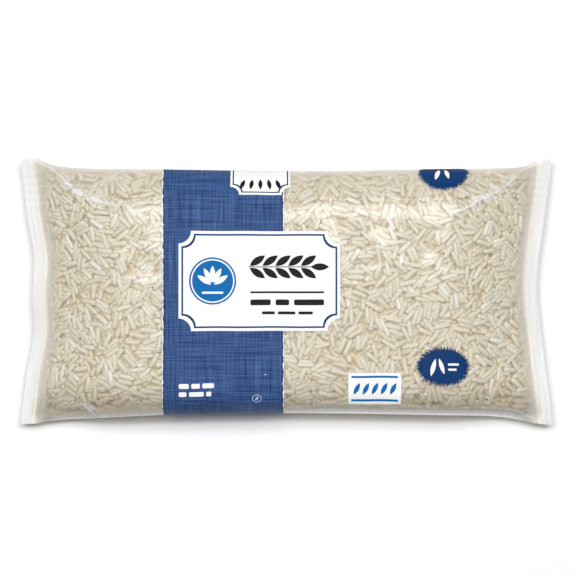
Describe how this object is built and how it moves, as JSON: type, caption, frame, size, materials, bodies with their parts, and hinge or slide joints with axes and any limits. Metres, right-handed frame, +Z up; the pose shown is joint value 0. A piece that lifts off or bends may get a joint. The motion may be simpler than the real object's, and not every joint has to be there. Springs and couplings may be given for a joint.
{
  "type": "sealed bag of rice",
  "caption": "Clear plastic pillow bag, crimp-sealed at both ends and filled with long grain rice, lying on its back with a printed blue band and plain labels.",
  "frame": {"origin": "middle of the footprint, on the surface that the bag lies on", "axes": "+Z up, out of the printed front; +X along the bag, from one end seal to the other, towards the small round label's end; +Y across it, towards the side that slopes gently"},
  "size_m": [0.2792, 0.1405, 0.0409],
  "materials": {
    "rice": "satin",
    "clear_film": "glossy",
    "milky_film": "satin",
    "blue_print": "satin",
    "navy_print": "satin",
    "white_print": "satin"
  },
  "bodies": {
    "root": {"rice_bag": "rice"}
  },
  "joints": []
}
